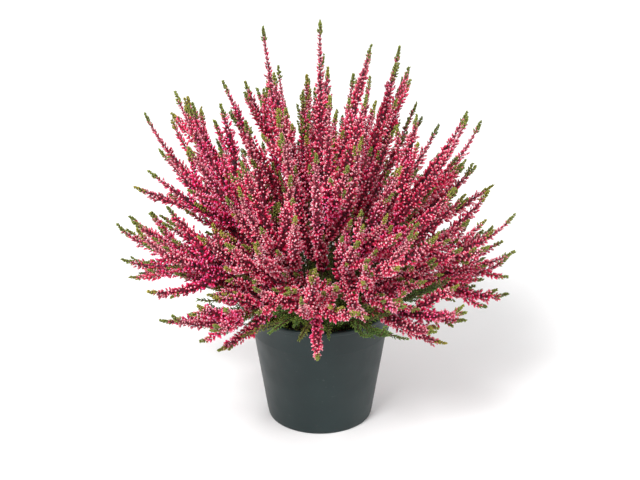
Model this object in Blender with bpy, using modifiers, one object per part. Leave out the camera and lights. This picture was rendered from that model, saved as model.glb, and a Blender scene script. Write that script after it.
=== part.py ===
"""A potted bud-flowering heather: a plastic pot, its peat and the plant that stands in it. Metres, +Z up."""

import math
import random

import bmesh
import bpy
import numpy as np
from mathutils import Vector

MM = 0.001
GAP = 0.3 * MM

# Pot
POT_HEIGHT = 90 * MM
RIM_RADIUS = 52.5 * MM
RIM_LIP_HEIGHT = 3.0 * MM
COLLAR_RADIUS = 50.8 * MM
COLLAR_BOTTOM = 70 * MM
BODY_TOP_RADIUS = 48.8 * MM
BASE_RADIUS = 38.0 * MM
WALL = 1.2 * MM
FLOOR = 3.2 * MM
FOOT_RISE = 1.6 * MM
PAD_RADIUS = 16 * MM
DRAIN_HOLES = 6
DRAIN_RADIUS = 3.5 * MM
DRAIN_CIRCLE = 25 * MM
TURN_STEPS = 24

# Peat
PEAT_TOP = 82 * MM
PEAT_BUMP = 1.1 * MM

# Plant
SEED = 11
GOLDEN = math.pi * (3 - math.sqrt(5))
SPRAYS = 22
SIDE_SPIKES = 6
LOW_SPIKES = 2
LOW_TILT = math.radians(40)
WIDEST_TILT = math.radians(78)
FOOT_LEAN = 0.55
TIP_LEAN = 0.52
STEM_SPREAD = 32 * MM
SIDE_REACH = 132 * MM
TOP_REACH = 206 * MM
STEM_RADIUS = 1.4 * MM
STEM_BURIED = 13 * MM
STEM_STRAIGHT = 5 * MM
STEM_FOOT = STEM_BURIED + STEM_STRAIGHT
SPIKE_CORE = 2.2 * MM
SPIKE_SHARES = (0.0, 0.5, 0.8, 1.0)
SPIKE_RADII = (6.0 * MM, 5.1 * MM, 2.8 * MM, 1.8 * MM)
BUD_STEP = 18 * MM
BUD_TWIST = math.radians(24)
BUD_LEAN = 0.4
LEAF_CORE = 1.0 * MM
LEAF_RADIUS = 2.5 * MM
LEAF_STEP = 16 * MM
LEAF_LEAN = 0.45
RIM_SHOOTS = 14
RIM_SHOOT_SIDES = 3
RIM_SHOOT_FOOT = 41 * MM
CLEAR = 0.5 * MM
BEAD_STEP = 4 * MM
RIM_BEADS = 90
BENT_SIDE = np.array((0.31, 0.11, 0.94))
UPWARD = -math.pi / 2

# How lines bow and fork: shares of their span, and ranges for the draws
BOW_HOLD = 0.33
TIP_LIFT = 10 * MM
BARE_OUTSIDE = 0.10
BARE_INSIDE = 0.20
SIDE_POINTS = 25
SIDE_AHEAD = 0.94
FORK_LENGTH = 11 * MM
SIDE_LENGTHS = (0.55, 0.92)
SIDE_FORKS = (8 * MM, 15 * MM)
SIDE_FAN = (4 * MM, 30 * MM)
LOW_LENGTHS = (0.35, 0.60)
LOW_FORKS = (12 * MM, 22 * MM)
LEAFY_LENGTHS = (0.30, 0.62)
LEAFY_FORKS = (8 * MM, 16 * MM)
LEAFY_FAN = (0, 16 * MM)
RIM_REACH = (60 * MM, 100 * MM)
RIM_RISE = (2 * MM, 34 * MM)
RIM_LEAN = (0.5, 1.2)
RIM_FORKS = (5 * MM, 10 * MM)
RIM_FAN = (2 * MM, 12 * MM)
SPIKE_TRIES = 30
LEAFY_TRIES = 40
RIM_TRIES = 60

# How far each line strays from its rule
TILT_STRAY = (0.97, 1.02)
TURN_STRAY = (-0.06, 0.06)
REACH_STRAY = (0.93, 1.03)
STEM_POINTS = 20
SIDE_FIRST = 3 * MM
SIDE_HEIGHT = 0.02
SIDE_HEIGHT_STEP = 0.08
SIDE_HEIGHT_STRAY = (0.7, 1.1)
SIDE_TURN_STRAY = (-1.5, 1.5)
LOW_TURN_STRAY = (-1.0, 1.0)
SPIKE_LOWEST = POT_HEIGHT - 8 * MM
SPIKE_ROOT = 0.5
SPIKE_MERCY = 2 * MM
LEAFY_FIRST = 5 * MM
LEAFY_HEIGHTS = (0.1, 0.8)
LEAFY_LOWEST = PEAT_TOP + 6 * MM
LENGTH_GAIN = 0.1
RIM_FOOT_STRAY = (-3 * MM, 3 * MM)
RIM_FOOT_LEAN = 0.45
RIM_SIDE_HEIGHTS = (0.35, 0.6)
RIM_SIDE_LENGTHS = (0.6, 1.0)

# Colours, each with its roughness
POT_SLATE = ((0.052, 0.066, 0.070), 0.55)
PEAT_BROWN = ((0.030, 0.020, 0.014), 0.95)
LEAF_GREEN = ((0.085, 0.120, 0.022), 0.60)
BLOOM_PINK = ((0.560, 0.045, 0.130), 0.55)


def clear_scene():
    for item in list(bpy.data.objects):
        bpy.data.objects.remove(item, do_unlink=True)


def collection(name, hidden=False):
    group = bpy.data.collections.new(name)
    bpy.context.scene.collection.children.link(group)
    group.hide_render = hidden
    return group


def as_wire(item):
    item.display_type = "WIRE"
    item.hide_render = True


def material(name, look):
    colour, roughness = look
    made = bpy.data.materials.new(name)
    made.use_nodes = True
    shader = made.node_tree.nodes["Principled BSDF"]
    shader.inputs["Base Color"].default_value = (*colour, 1.0)
    shader.inputs["Roughness"].default_value = roughness
    shader.inputs["Metallic"].default_value = 0.0
    made.diffuse_color = (*colour, 1.0)
    return made


def mesh_object(name, mesh, group):
    made = bpy.data.objects.new(name, mesh)
    group.objects.link(made)
    return made


def apply_modifiers(item):
    graph = bpy.context.evaluated_depsgraph_get()
    mesh = bpy.data.meshes.new_from_object(item.evaluated_get(graph))
    item.modifiers.clear()
    item.data = mesh


def turned(name, profile, group):
    """A closed outline of (radius, height) points turned about Z."""
    mesh = bpy.data.meshes.new(name)
    points = [(radius, 0.0, height) for radius, height in profile]
    mesh.from_pydata(points, [(i, i + 1) for i in range(len(points) - 1)], [])
    made = mesh_object(name, mesh, group)
    screw = made.modifiers.new("Turn", "SCREW")
    screw.steps = screw.render_steps = TURN_STEPS
    screw.use_merge_vertices = True
    screw.merge_threshold = 0.00001
    apply_modifiers(made)
    return made


def cut(item, cutters):
    """Takes every object of a collection away from the item."""
    difference = item.modifiers.new("Cut", "BOOLEAN")
    difference.operation = "DIFFERENCE"
    difference.operand_type = "COLLECTION"
    difference.collection = cutters
    difference.solver = "EXACT"
    apply_modifiers(item)
    for cutter in list(cutters.objects):
        bpy.data.objects.remove(cutter, do_unlink=True)


def shade_smooth(item, angle=math.radians(35)):
    item.data.shade_smooth()
    item.data.set_sharp_from_angle(angle=angle)


def wall_radius(height, inset):
    """The radius of the pot's outside at a height, less an inset."""
    if height > COLLAR_BOTTOM:
        return COLLAR_RADIUS - inset
    share = height / COLLAR_BOTTOM
    return BASE_RADIUS + (BODY_TOP_RADIUS - BASE_RADIUS) * share - inset


def build_pot(group, cutters, look):
    inner_floor = wall_radius(FLOOR, WALL)
    lip = RIM_LIP_HEIGHT
    profile = [
        (RIM_RADIUS - 1.0 * MM, POT_HEIGHT),
        (RIM_RADIUS, POT_HEIGHT - 0.8 * MM),
        (RIM_RADIUS, POT_HEIGHT - lip),
        (COLLAR_RADIUS, POT_HEIGHT - lip - 0.7 * MM),
        (COLLAR_RADIUS - 0.4 * MM, COLLAR_BOTTOM + 0.6 * MM),
        (COLLAR_RADIUS - 1.0 * MM, COLLAR_BOTTOM),
        (BODY_TOP_RADIUS, COLLAR_BOTTOM),
        (wall_radius(5 * MM, 0.0), 5 * MM),
        (BASE_RADIUS, 1.0 * MM),
        (BASE_RADIUS - 0.8 * MM, 0.0),
        (BASE_RADIUS - 4 * MM, 0.0),
        (BASE_RADIUS - 5 * MM, FOOT_RISE),
        (PAD_RADIUS + 1 * MM, FOOT_RISE),
        (PAD_RADIUS, 0.0),
        (0.0, 0.0),
        (0.0, FLOOR),
        (inner_floor - 0.8 * MM, FLOOR),
        (inner_floor, FLOOR + 0.8 * MM),
        (BODY_TOP_RADIUS - WALL, COLLAR_BOTTOM),
        (COLLAR_RADIUS - WALL, COLLAR_BOTTOM + 1.5 * MM),
        (COLLAR_RADIUS - WALL, POT_HEIGHT - 1.0 * MM),
        (COLLAR_RADIUS - 0.5 * MM, POT_HEIGHT),
    ]
    pot = turned("pot", profile + profile[:1], group)
    for number in range(DRAIN_HOLES):
        bm = bmesh.new()
        bmesh.ops.create_cone(
            bm, cap_ends=True, segments=8, radius1=DRAIN_RADIUS, radius2=DRAIN_RADIUS, depth=4 * FLOOR
        )
        turn = (number + 0.5) * 2 * math.pi / DRAIN_HOLES
        place = Vector((math.cos(turn) * DRAIN_CIRCLE, math.sin(turn) * DRAIN_CIRCLE, FLOOR / 2))
        bmesh.ops.translate(bm, verts=bm.verts, vec=place)
        mesh = bpy.data.meshes.new("drain")
        bm.to_mesh(mesh)
        bm.free()
        as_wire(mesh_object("drain", mesh, cutters))
    cut(pot, cutters)
    shade_smooth(pot)
    return dressed(pot, look)


def peat_height(x, y):
    """Crumbly ups and downs of the peat, level at its edge."""
    wave = math.sin(310 * x + 1.3) * math.cos(270 * y) + 0.7 * math.sin(520 * y + 260 * x)
    edge = min(1.0, (COLLAR_RADIUS - math.hypot(x, y)) / (9 * MM))
    return PEAT_TOP + PEAT_BUMP * 0.6 * wave * max(0.0, edge)


def build_peat(group, cutters, look):
    skin = WALL + GAP
    floor = FLOOR + GAP
    profile = [(0.0, PEAT_TOP)]
    profile += [(radius * MM, PEAT_TOP) for radius in (12, 24, 37)]
    profile += [
        (COLLAR_RADIUS - skin - 1.2 * MM, PEAT_TOP),
        (COLLAR_RADIUS - skin, PEAT_TOP - 1.2 * MM),
        (COLLAR_RADIUS - skin, COLLAR_BOTTOM + 1.5 * MM + GAP),
        (BODY_TOP_RADIUS - skin, COLLAR_BOTTOM + GAP / 2),
        (wall_radius(floor, skin), floor + 0.8 * MM),
        (wall_radius(floor, skin) - 0.8 * MM, floor),
        (0.0, floor),
    ]
    peat = turned("soil", profile, group)
    for vertex in peat.data.vertices:
        if vertex.co.z > PEAT_TOP - 0.1 * MM:
            vertex.co.z = peat_height(vertex.co.x, vertex.co.y)
    cut(peat, cutters)
    return dressed(peat, look)


def frames(points):
    """Ahead, side and third direction at each point, carried along the path without twist."""
    ahead = np.gradient(points, axis=0)
    ahead /= np.linalg.norm(ahead, axis=1)[:, None]
    side = BENT_SIDE
    sides = []
    for tangent in ahead:
        side = side - tangent * np.dot(side, tangent)
        side /= np.linalg.norm(side)
        sides.append(side)
    sides = np.array(sides)
    return ahead, sides, np.cross(ahead, sides)


def knobbly(name, points, cores, reaches, lean, group, flat_end=False):
    """A closed four-sided tube, every second corner of its net drawn out to a bud or leaf leaning ahead."""
    ahead, sides, thirds = frames(points)
    bm = bmesh.new()
    net = []
    rings = len(points) if flat_end else len(points) - 1
    for i in range(rings):
        ring = []
        for j in range(4):
            turn = math.pi / 2 * j + BUD_TWIST * max(0, i - 1)
            drawn = (i + j) % 2 == 0 and reaches[i] > cores[i]
            radius = reaches[i] if drawn else cores[i]
            way = math.cos(turn) * sides[i] + math.sin(turn) * thirds[i]
            ring.append(bm.verts.new(points[i] + radius * way + (lean if drawn else 0.0) * ahead[i]))
        net.append(ring)
    bm.faces.new(list(reversed(net[0])))
    for i in range(rings - 1):
        for j in range(4):
            a, b = net[i][j], net[i][(j + 1) % 4]
            d, c = net[i + 1][j], net[i + 1][(j + 1) % 4]
            corners = ((a, b, d), (b, c, d)) if (i + j) % 2 == 0 else ((a, b, c), (a, c, d))
            for corner in corners:
                bm.faces.new(corner)
    if flat_end:
        bm.faces.new(net[-1])
    else:
        tip = bm.verts.new(points[-1])
        for j in range(4):
            bm.faces.new((net[-1][j], net[-1][(j + 1) % 4], tip))
    bmesh.ops.recalc_face_normals(bm, faces=bm.faces)
    mesh = bpy.data.meshes.new(name)
    bm.to_mesh(mesh)
    bm.free()
    return mesh_object(name, mesh, group)


def fuse(name, group, node_group):
    """One body from all the objects of a collection, which are then removed."""
    pieces = list(group.objects)
    made = mesh_object(name, pieces[0].data.copy(), node_group)
    bpy.data.objects.remove(pieces[0], do_unlink=True)
    if len(pieces) > 1:
        union = made.modifiers.new("Fuse", "BOOLEAN")
        union.operation = "UNION"
        union.operand_type = "COLLECTION"
        union.collection = group
        union.solver = "MANIFOLD"
        apply_modifiers(made)
        for piece in pieces[1:]:
            bpy.data.objects.remove(piece, do_unlink=True)
    return made


def bow(start, start_tilt, end, end_tilt, count=60):
    """Points (radius, height) of a bowed line that leaves and arrives at the tilts given from upright."""
    span = math.dist(start, end)
    hold = BOW_HOLD * span
    first = (start[0] + hold * math.sin(start_tilt), start[1] + hold * math.cos(start_tilt))
    second = (end[0] - hold * math.sin(end_tilt), end[1] - hold * math.cos(end_tilt))
    line = []
    for step in range(count + 1):
        t = step / count
        weights = ((1 - t) ** 3, 3 * t * (1 - t) ** 2, 3 * t * t * (1 - t), t**3)
        line.append([sum(w * p[k] for w, p in zip(weights, (start, first, second, end))) for k in (0, 1)])
    return line


class Line:
    """A path in space measured by its length. Past its end it runs straight on."""

    def __init__(self, points):
        self.points = np.array(points, dtype=float)
        steps = np.linalg.norm(np.diff(self.points, axis=0), axis=1)
        self.marks = np.concatenate([[0.0], np.cumsum(steps)])
        self.length = float(self.marks[-1])

    def at(self, distance):
        if distance >= self.length:
            way = self.points[-1] - self.points[-2]
            return self.points[-1] + way / np.linalg.norm(way) * (distance - self.length)
        return np.array([np.interp(distance, self.marks, self.points[:, k]) for k in range(3)])

    def ahead(self, distance):
        way = self.at(distance + 1 * MM) - self.at(max(0.0, distance - 1 * MM))
        return way / np.linalg.norm(way)


def from_peat(flat, turn):
    """A bowed line stood at a turn about the pot's axis, with its straight foot sunk in the peat."""
    line = Line([(math.cos(turn) * radius, math.sin(turn) * radius, height) for radius, height in flat])
    foot = line.points[0] - line.ahead(0.0) * STEM_FOOT
    return Line(np.vstack([foot, line.points]))


def side_line(parent, leave, length, turn, fork, fan):
    """A side shoot that leaves its parent, bends up beside it and fans slowly away."""
    way = parent.ahead(leave)
    side = np.cross(way, BENT_SIDE)
    side /= np.linalg.norm(side)
    third = np.cross(way, side)
    out = math.cos(turn) * side + math.sin(turn) * third
    points = []
    for share in np.linspace(0, 1, SIDE_POINTS):
        away = fork * (1 - math.exp(-share * length / FORK_LENGTH)) + fan * share
        points.append(parent.at(leave + SIDE_AHEAD * share * length) + out * away)
    return Line(points)


def spike_radius(share):
    """Bud reach along a spike, full below its middle, slim above it and least at its leafy tip."""
    return float(np.interp(share, SPIKE_SHARES, SPIKE_RADII))


def leaf_radius(share):
    return LEAF_RADIUS * (1 - 0.3 * share)


def beads(line, start, radius_of):
    """Balls along a line that its buds stay within, for finding free room."""
    marks = np.linspace(start, line.length, max(2, int((line.length - start) / BEAD_STEP)))
    places = np.array([line.at(mark) for mark in marks])
    radii = np.array([radius_of((mark - start) / (line.length - start)) for mark in marks])
    return places, radii


class Space:
    """The balls that the lines placed so far fill, each with its owner."""

    def __init__(self):
        self.places, self.radii, self.owners = np.zeros((0, 3)), np.zeros(0), np.zeros(0)

    def take(self, owner, places, radii):
        self.places = np.vstack([self.places, places])
        self.radii = np.concatenate([self.radii, radii])
        self.owners = np.concatenate([self.owners, np.full(len(radii), owner)])

    def gap(self, places, radii, chosen):
        """The least gap between these balls and the chosen ones."""
        if not chosen.any():
            return 1.0
        apart = np.linalg.norm(places[:, None, :] - self.places[None, chosen, :], axis=2)
        return float((apart - radii[:, None] - self.radii[None, chosen]).min())

    def freest(self, owner, draw, tries, radius_of, lowest=0.0, root=0.3, mercy=0.0, gain=0.0):
        """The drawn line with the most room, which it then takes, or None where no draw is clear.

        A root share of it may meet its own plant part, and the rest may by a mercy. Length counts by a gain.
        """
        own = self.owners == owner
        best_score, best = CLEAR, None
        for _ in range(tries):
            line = draw()
            places, radii = beads(line, 0.0, radius_of)
            past = round(root * len(places))
            free = min(self.gap(places, radii, ~own), self.gap(places[past:], radii[past:], own) + mercy)
            score = free + gain * line.length
            if places[:, 2].min() > lowest and free > CLEAR and score > best_score:
                best_score, best = score, (line, places, radii)
        if best is None:
            return None
        self.take(owner, best[1], best[2])
        return best[0]


def take_rim(space):
    """Keeps the pot's rim clear."""
    turns = [2 * math.pi * step / RIM_BEADS for step in range(RIM_BEADS)]
    middle = RIM_RADIUS - 2 * MM
    places = [(math.cos(turn) * middle, math.sin(turn) * middle, POT_HEIGHT - 2 * MM) for turn in turns]
    space.take(-1, np.array(places), np.full(RIM_BEADS, 3 * MM))


def middle_lines(chance, space):
    """The middle line of every spray, spread evenly over the plant's round top."""
    sprays = []
    for number in range(SPRAYS):
        share = number / (SPRAYS - 1)
        tilt = math.acos(1 - share * (1 - math.cos(WIDEST_TILT))) * chance.uniform(*TILT_STRAY)
        turn = number * GOLDEN + chance.uniform(*TURN_STRAY)
        reach = SIDE_REACH + (TOP_REACH - SIDE_REACH) * math.cos(tilt)
        reach *= chance.uniform(*REACH_STRAY)
        start = (STEM_SPREAD * math.sqrt(share), PEAT_TOP + STEM_STRAIGHT)
        end = (reach * math.sin(tilt), PEAT_TOP + TIP_LIFT + reach * math.cos(tilt))
        line = from_peat(bow(start, FOOT_LEAN * tilt, end, TIP_LEAN * tilt), turn)
        first_bud = STEM_FOOT + (BARE_OUTSIDE + (BARE_INSIDE - BARE_OUTSIDE) * math.cos(tilt)) * reach
        space.take(number, *beads(line, first_bud, spike_radius))
        stem = Line([line.at(mark) for mark in np.linspace(STEM_BURIED, first_bud, STEM_POINTS)])
        space.take(number, *beads(stem, 0.0, leaf_radius))
        sprays.append({"line": line, "first_bud": first_bud, "sides": [], "shoots": [], "tilt": tilt})
    return sprays


def add_side_spikes(chance, space, sprays, rank):
    """One more side spike on each spray. The last ranks are short, low and only on sprays that lean."""
    low = rank >= SIDE_SPIKES
    height = SIDE_HEIGHT if low else SIDE_HEIGHT + SIDE_HEIGHT_STEP * rank
    lengths, forks = (LOW_LENGTHS, LOW_FORKS) if low else (SIDE_LENGTHS, SIDE_FORKS)
    middle_turn, turn_stray = (UPWARD, LOW_TURN_STRAY) if low else (rank * GOLDEN, SIDE_TURN_STRAY)
    for number, spray in enumerate(sprays):
        line, first_bud = spray["line"], spray["first_bud"]

        def draw():
            rise = (line.length - first_bud) * height * chance.uniform(*SIDE_HEIGHT_STRAY)
            leave = first_bud + SIDE_FIRST + rise
            length = (line.length - leave) * chance.uniform(*lengths)
            turn = middle_turn + chance.uniform(*turn_stray)
            return side_line(line, leave, length, turn, chance.uniform(*forks), chance.uniform(*SIDE_FAN))

        if low and spray["tilt"] < LOW_TILT:
            continue
        side = space.freest(number, draw, SPIKE_TRIES, spike_radius, SPIKE_LOWEST, SPIKE_ROOT, SPIKE_MERCY)
        if side:
            spray["sides"].append(side)


def add_leafy_shoots(chance, space, sprays):
    """A green side shoot low on each stem, kept clear of every spike."""
    for number, spray in enumerate(sprays):
        line, low = spray["line"], STEM_FOOT + LEAFY_FIRST

        def draw():
            leave = low + (spray["first_bud"] - low) * chance.uniform(*LEAFY_HEIGHTS)
            length = (line.length - leave) * chance.uniform(*LEAFY_LENGTHS)
            turn = chance.uniform(0, 2 * math.pi)
            fork = chance.uniform(*LEAFY_FORKS)
            return side_line(line, leave, length, turn, fork, chance.uniform(*LEAFY_FAN))

        side = space.freest(number, draw, LEAFY_TRIES, leaf_radius, LEAFY_LOWEST, gain=LENGTH_GAIN)
        if side:
            spray["shoots"].append(side)


def rim_shoots(chance, space):
    """Shoots without flowers that lean out over the rim, in the freest places round it."""
    shoots = []
    for number in range(RIM_SHOOTS):
        owner = SPRAYS + number

        def draw():
            turn = (number + chance.uniform(0, 1)) * 2 * math.pi / RIM_SHOOTS
            start = (RIM_SHOOT_FOOT + chance.uniform(*RIM_FOOT_STRAY), PEAT_TOP + STEM_STRAIGHT)
            end = (chance.uniform(*RIM_REACH), POT_HEIGHT + chance.uniform(*RIM_RISE))
            return from_peat(bow(start, RIM_FOOT_LEAN, end, chance.uniform(*RIM_LEAN)), turn)

        line = space.freest(owner, draw, RIM_TRIES, leaf_radius)
        if line:
            shoots.append({"line": line, "sides": [], "owner": owner})
    for shoot in shoots:
        line = shoot["line"]

        def draw_side():
            leave = line.length * chance.uniform(*RIM_SIDE_HEIGHTS)
            length = (line.length - leave) * chance.uniform(*RIM_SIDE_LENGTHS)
            turn = chance.uniform(0, 2 * math.pi)
            return side_line(line, leave, length, turn, chance.uniform(*RIM_FORKS), chance.uniform(*RIM_FAN))

        for _ in range(RIM_SHOOT_SIDES):
            side = space.freest(shoot["owner"], draw_side, LEAFY_TRIES, leaf_radius)
            if side:
                shoot["sides"].append(side)
    return shoots


def lay_out():
    """Every line of the plant, placed by one seeded rule, with no two sprays meeting."""
    chance = random.Random(SEED)
    space = Space()
    take_rim(space)
    sprays = middle_lines(chance, space)
    shoots = rim_shoots(chance, space)
    for rank in range(SIDE_SPIKES + LOW_SPIKES):
        add_side_spikes(chance, space, sprays, rank)
    add_leafy_shoots(chance, space, sprays)
    return sprays, shoots


def add_spike(line, start, group):
    """One flower spike with its buds larger than life."""
    rows = max(4, round((line.length - start) / BUD_STEP))
    shares = [row / rows for row in range(rows + 1)]
    points = np.array([line.at(start + (line.length - start) * share) for share in shares])
    reaches = [spike_radius(share) for share in shares]
    cores = [min(SPIKE_CORE, 0.5 * reach) for reach in reaches]
    cores[0] = reaches[0] = STEM_RADIUS
    knobbly("spike", points, cores, reaches, BUD_LEAN * BUD_STEP, group)


def add_stem(line, end, group):
    """A woody stem, plain in the peat and leafy above it, with a flat end where it stops short of its tip."""
    rows = max(2, round((end - STEM_FOOT) / LEAF_STEP))
    marks = [0.0] + [STEM_FOOT + (end - STEM_FOOT) * row / rows for row in range(rows + 1)]
    points = np.array([line.at(mark) for mark in marks])
    cores = [STEM_RADIUS * (1 - 0.3 * mark / line.length) for mark in marks]
    reaches = list(cores)
    for k in range(2, len(marks) - 1):
        reaches[k] = LEAF_RADIUS
    whole = end >= line.length
    knobbly("stem", points, cores, reaches, LEAF_LEAN * LEAF_STEP, group, flat_end=not whole)


def add_leafy(line, group):
    """A side shoot covered in small leaves."""
    rows = max(3, round(line.length / LEAF_STEP))
    shares = [row / rows for row in range(rows + 1)]
    points = np.array([line.at(line.length * share) for share in shares])
    reaches = [leaf_radius(share) for share in shares]
    reaches[0] = LEAF_CORE
    knobbly("leafy", points, [LEAF_CORE] * len(shares), reaches, LEAF_LEAN * LEAF_STEP, group)


def build_bloom(number, spray, group, work, look):
    add_spike(spray["line"], spray["first_bud"] + GAP, work)
    for side in spray["sides"]:
        add_spike(side, 0.0, work)
    return dressed(fuse(f"bloom_{number:02d}", work, group), look)


def build_stem(number, spray, group, work, look):
    add_stem(spray["line"], spray["first_bud"], work)
    for shoot in spray["shoots"]:
        add_leafy(shoot, work)
    return dressed(fuse(f"stem_{number:02d}", work, group), look)


def build_shoot(number, shoot, group, work, look):
    add_stem(shoot["line"], shoot["line"].length, work)
    for side in shoot["sides"]:
        add_leafy(side, work)
    return dressed(fuse(f"shoot_{number}", work, group), look)


def dressed(item, look):
    item.data.materials.clear()
    item.data.materials.append(look)
    return item


def add_stem_holes(lines, cutters):
    """Four-sided cutters round the straight foot of each stem, turned as the stem is."""
    reach = STEM_RADIUS + GAP * math.sqrt(2)
    for line in lines:
        points = np.array([line.at(0.0), line.at(STEM_FOOT), line.at(STEM_FOOT + LEAF_STEP)])
        points[0] -= line.ahead(0.0) * GAP
        points[1] += line.ahead(0.0) * 4 * MM
        as_wire(knobbly("stem_hole", points, [reach] * 3, [reach] * 3, 0.0, cutters, flat_end=True))


def main():
    clear_scene()
    plant = collection("potted_heather")
    work = collection("fusing", hidden=True)
    cutters = collection("cutters", hidden=True)
    sprays, shoots = lay_out()
    green = material("leaf_green", LEAF_GREEN)
    pink = material("bloom_pink", BLOOM_PINK)
    build_pot(plant, cutters, material("pot_slate", POT_SLATE))
    add_stem_holes([item["line"] for item in sprays + shoots], cutters)
    build_peat(plant, cutters, material("peat_brown", PEAT_BROWN))
    for number, spray in enumerate(sprays, 1):
        build_stem(number, spray, plant, work, green)
        build_bloom(number, spray, plant, work, pink)
    for number, shoot in enumerate(shoots, 1):
        build_shoot(number, shoot, plant, work, green)


main()
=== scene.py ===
"""A potted bud-flowering heather, dressed over its solids: pot, peat, woody stems, leaves and flower buds."""

import math
import random

import bmesh
import bpy
import numpy as np
from mathutils import Matrix, Vector


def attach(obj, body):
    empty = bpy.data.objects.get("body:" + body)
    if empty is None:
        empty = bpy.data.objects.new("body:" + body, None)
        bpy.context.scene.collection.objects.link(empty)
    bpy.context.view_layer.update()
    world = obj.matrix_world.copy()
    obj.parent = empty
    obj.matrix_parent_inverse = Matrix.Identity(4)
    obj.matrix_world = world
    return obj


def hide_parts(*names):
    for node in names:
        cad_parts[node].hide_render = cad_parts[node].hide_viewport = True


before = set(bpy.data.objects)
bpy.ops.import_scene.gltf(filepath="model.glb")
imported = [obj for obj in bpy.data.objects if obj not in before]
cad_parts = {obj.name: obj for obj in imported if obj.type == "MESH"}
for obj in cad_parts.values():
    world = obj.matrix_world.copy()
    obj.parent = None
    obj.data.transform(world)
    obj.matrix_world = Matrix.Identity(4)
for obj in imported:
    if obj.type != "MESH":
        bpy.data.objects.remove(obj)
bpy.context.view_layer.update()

MM = 0.001

# The pot and peat, as in the solids. The peat's waves are in radians to a metre, along X and along Y
POT_HEIGHT = 90 * MM
RIM_RADIUS = 52.5 * MM
RIM_LIP_HEIGHT = 3.0 * MM
COLLAR_RADIUS = 50.8 * MM
COLLAR_BOTTOM = 70 * MM
BODY_TOP_RADIUS = 48.8 * MM
BASE_RADIUS = 38.0 * MM
WALL = 1.2 * MM
FLOOR = 3.2 * MM
FOOT_RISE = 1.6 * MM
PAD_RADIUS = 16 * MM
DRAIN_HOLES = 6
DRAIN_RADIUS = 3.5 * MM
DRAIN_CIRCLE = 25 * MM
PEAT_TOP = 82 * MM
PEAT_BUMP = 1.1 * MM
PEAT_BUMP_SHARE = 0.6
PEAT_BROAD = (310, 270)
PEAT_SHIFT = 1.3
PEAT_FINE = (260, 520)
PEAT_FINE_SHARE = 0.7
PEAT_EDGE = 9 * MM

# The plant's lines, as in the solids
SEED = 11
GOLDEN = math.pi * (3 - math.sqrt(5))
SPRAYS = 22
SIDE_SPIKES = 6
LOW_SPIKES = 2
LOW_TILT = math.radians(40)
WIDEST_TILT = math.radians(78)
FOOT_LEAN = 0.55
TIP_LEAN = 0.52
STEM_SPREAD = 32 * MM
SIDE_REACH = 132 * MM
TOP_REACH = 206 * MM
STEM_RADIUS = 1.4 * MM
STEM_BURIED = 13 * MM
STEM_STRAIGHT = 5 * MM
STEM_FOOT = STEM_BURIED + STEM_STRAIGHT
SPIKE_SHARES = (0.0, 0.5, 0.8, 1.0)
SPIKE_RADII = (6.0 * MM, 5.1 * MM, 2.8 * MM, 1.8 * MM)
LEAF_RADIUS = 2.5 * MM
LEAF_THINNING = 0.3
RIM_SHOOTS = 14
RIM_SHOOT_SIDES = 3
RIM_SHOOT_FOOT = 41 * MM
CLEAR = 0.5 * MM
BEAD_STEP = 4 * MM
RIM_BEADS = 90
RIM_BEAD_RADIUS = 3 * MM
RIM_BEAD_INSET = 2 * MM
BENT_SIDE = np.array((0.31, 0.11, 0.94))
UPWARD = -math.pi / 2

# How lines bow and fork: shares of their span, and ranges for the draws
BOW_HOLD = 0.33
TIP_LIFT = 10 * MM
BARE_OUTSIDE = 0.10
BARE_INSIDE = 0.20
SIDE_POINTS = 25
SIDE_AHEAD = 0.94
FORK_LENGTH = 11 * MM
SIDE_LENGTHS = (0.55, 0.92)
SIDE_FORKS = (8 * MM, 15 * MM)
SIDE_FAN = (4 * MM, 30 * MM)
LOW_LENGTHS = (0.35, 0.60)
LOW_FORKS = (12 * MM, 22 * MM)
LEAFY_LENGTHS = (0.30, 0.62)
LEAFY_FORKS = (8 * MM, 16 * MM)
LEAFY_FAN = (0, 16 * MM)
RIM_REACH = (60 * MM, 100 * MM)
RIM_RISE = (2 * MM, 34 * MM)
RIM_LEAN = (0.5, 1.2)
RIM_FORKS = (5 * MM, 10 * MM)
RIM_FAN = (2 * MM, 12 * MM)
SPIKE_TRIES = 30
LEAFY_TRIES = 40
RIM_TRIES = 60

# Where each line may leave and run, and how far it strays from its rule
TILT_STRAY = (0.97, 1.02)
TURN_STRAY = (-0.06, 0.06)
REACH_STRAY = (0.93, 1.03)
STEM_POINTS = 20
SIDE_FIRST = 3 * MM
SIDE_HEIGHT = 0.02
SIDE_HEIGHT_STEP = 0.08
SIDE_HEIGHT_STRAY = (0.7, 1.1)
SIDE_TURN_STRAY = (-1.5, 1.5)
LOW_TURN_STRAY = (-1.0, 1.0)
SPIKE_LOWEST = POT_HEIGHT - 8 * MM
SPIKE_ROOT = 0.5
SPIKE_MERCY = 2 * MM
LEAFY_FIRST = 5 * MM
LEAFY_HEIGHTS = (0.1, 0.8)
LEAFY_LOWEST = PEAT_TOP + 6 * MM
LENGTH_GAIN = 0.1
RIM_FOOT_STRAY = (-3 * MM, 3 * MM)
RIM_FOOT_LEAN = 0.45
RIM_SIDE_HEIGHTS = (0.35, 0.6)
RIM_SIDE_LENGTHS = (0.6, 1.0)

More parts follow.
